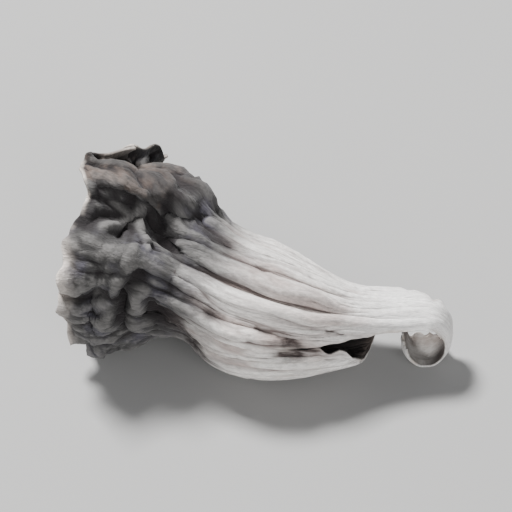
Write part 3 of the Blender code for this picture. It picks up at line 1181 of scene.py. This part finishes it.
        # The ring's inside near the foot is left dark as painted shade, and is pale only at the curl's tip.
        lining = g.mix(g.share("bleach"), self.inside, self.inside_foot)
        lining = g.mix(g.math("MULTIPLY", g.share("lip"), g.span(cloud, 0.3, 0.6)), lining, self.inside_lip)
        skin = g.mix(g.share("inner"), skin, lining)
        skin = g.mix(g.math("MULTIPLY", g.share("margin"), g.span(patch, 0.3, 0.5, 0.75, 1.0)), skin, self.hem)
        skin = g.mix(1.0, skin, g.span(fibre, 0.25, 0.75, 0.72, 1.16), "MULTIPLY")
        skin = g.mix(1.0, skin, g.span(dirt, 0.2, 0.5, 0.82, 1.0), "MULTIPLY")
        g.join(skin, g.shader.inputs["Base Color"])
        g.join(g.span(fibre, 0.2, 0.8, 0.78, 0.94), g.shader.inputs["Roughness"])
        g.shader.inputs["Specular IOR Level"].default_value = 0.22
        g.shader.inputs["Sheen Weight"].default_value = 0.08
        g.shader.inputs["Sheen Roughness"].default_value = 0.6
        bump = g.tree.nodes.new("ShaderNodeBump")
        bump.inputs["Strength"].default_value = 0.55
        bump.inputs["Distance"].default_value = 0.00022
        fine = g.noise(grain, 11.0, 5.0, 0.6)
        height = g.math("ADD", g.math("MULTIPLY", fibre, 0.7), g.math("MULTIPLY", fine, 0.5))
        height = g.math("ADD", height, g.math("MULTIPLY", dirt, 0.25))
        height = g.math("ADD", height, g.math("MULTIPLY", g.math("MULTIPLY", wrinkle, cap), 0.5))
        g.join(height, bump.inputs["Height"])
        g.join(bump.outputs["Normal"], g.shader.inputs["Normal"])
        return g.material


@dataclass(frozen=True)
class Ground:
    """The pale floor."""

    colour: tuple[float, float, float] = (0.33, 0.327, 0.323)

    def make(self) -> bpy.types.Material:
        """Builds the floor's material."""
        g = Graph("pale_floor")
        cloud = g.noise(g.place(), 3.0, 2.0)
        shade = g.mix(g.span(cloud, 0.3, 0.7), self.colour, tuple(0.97 * c for c in self.colour))
        g.join(shade, g.shader.inputs["Base Color"])
        g.shader.inputs["Roughness"].default_value = 0.9
        return g.material


@dataclass
class Mushroom:
    """The whole mushroom, one thin shell.

    Attributes:
        columns: Divisions round the hollow.
        curl: Rows in the curled strip.
        body: Rows from the foot to the mouth.
        lip: Rows in the turned lip.
    """

    columns: int = 304
    curl: int = 32
    body: int = 104
    lip: int = 11

    def build(self) -> bpy.types.Object:
        """Builds the mushroom, dresses it and sets it on the model's body.

        Returns:
            The mushroom.
        """
        form = Form()
        sheet = Funnel(form, self.columns, self.curl, self.body, self.lip).sheet()
        mesh = Shell(sheet, form).build("mushroom_flesh")
        piece = bpy.data.objects.new("mushroom_flesh", mesh)
        bpy.context.scene.collection.objects.link(piece)
        mesh.materials.append(Flesh().make())
        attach(piece, "root")
        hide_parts(NODE)
        log.info("mushroom: %d points, %d faces", len(mesh.vertices), len(mesh.polygons))
        return piece


@dataclass
class Studio:
    """Floor, lights and camera.

    Attributes:
        reach: Half the side of the floor in metres.
        elevation: Height of the camera above the horizon in degrees.
        distance: Distance of the camera in metres.
        lens: Focal length in mm on a sensor 36 mm wide.
        target: Point the camera looks at in metres.
    """

    reach: float = 3.0
    elevation: float = 50.0
    distance: float = 0.60
    lens: float = 292.0
    target: tuple[float, float, float] = (0.0, 0.0, 0.0125)

    def floor(self) -> bpy.types.Object:
        """Builds the flat floor just under the mushroom.

        Returns:
            The floor.
        """
        corners = np.array([(-1, -1, 0), (1, -1, 0), (1, 1, 0), (-1, 1, 0)], float) * self.reach
        corners[:, 2] = -0.00002
        mesh = bpy.data.meshes.new("floor")
        mesh.from_pydata(corners.tolist(), [], [(0, 1, 2, 3)])
        mesh.materials.append(Ground().make())
        floor = bpy.data.objects.new("floor", mesh)
        bpy.context.scene.collection.objects.link(floor)
        return floor

    def aim(self, thing: bpy.types.Object, at: Points) -> None:
        """Turns a light or the camera so that it looks at a point.

        Args:
            thing: What is turned.
            at: The point.
        """
        back = np.array(thing.location) - at
        back /= np.linalg.norm(back)
        right = np.cross((0.0, 0.0, 1.0), back)
        right /= np.linalg.norm(right)
        turn = np.stack([right, np.cross(back, right), back], -1)
        thing.rotation_euler = Matrix(turn.tolist()).to_euler()

    def lamp(self, name: str, place: tuple[float, float, float], side: float, power: float) -> None:
        """Adds a square soft light that shines on the mushroom.

        Args:
            name: Name of the light.
            place: Where it hangs in metres.
            side: Its side in metres.
            power: Its power in watts.
        """
        light = bpy.data.lights.new(name, "AREA")
        light.size = side
        light.energy = power
        lamp = bpy.data.objects.new(name, light)
        lamp.location = place
        bpy.context.scene.collection.objects.link(lamp)
        self.aim(lamp, np.array(self.target))

    def camera(self) -> None:
        """Sets the camera at the photograph's viewing angle."""
        data = bpy.data.cameras.new("camera")
        data.lens = self.lens
        data.sensor_width = 36.0
        data.clip_start = 0.01
        camera = bpy.data.objects.new("camera", data)
        low = math.radians(self.elevation)
        at = np.array(self.target)
        camera.location = at + self.distance * np.array((0.0, -math.cos(low), math.sin(low)))
        bpy.context.scene.collection.objects.link(camera)
        self.aim(camera, at)
        bpy.context.scene.camera = camera

    def build(self) -> None:
        """Sets up the floor, the lights, the surroundings and the camera."""
        self.floor()
        self.lamp("key_light", (-0.34, 0.32, 0.80), 0.20, 26.0)
        self.lamp("fill_light", (0.40, -0.85, 0.50), 0.6, 6.0)
        self.lamp("front_light", (-0.55, -0.60, 0.30), 0.5, 1.5)
        world = bpy.data.worlds.new("studio")
        world.use_nodes = True
        world.node_tree.nodes["Background"].inputs["Color"].default_value = (0.9, 0.92, 0.95, 1.0)
        world.node_tree.nodes["Background"].inputs["Strength"].default_value = 0.30
        bpy.context.scene.world = world
        self.camera()


def main() -> None:
    """Builds the mushroom and the studio."""
    logging.basicConfig(level=logging.INFO, format="%(name)s: %(message)s")
    Mushroom().build()
    Studio().build()


if __name__ == "__main__":
    main()
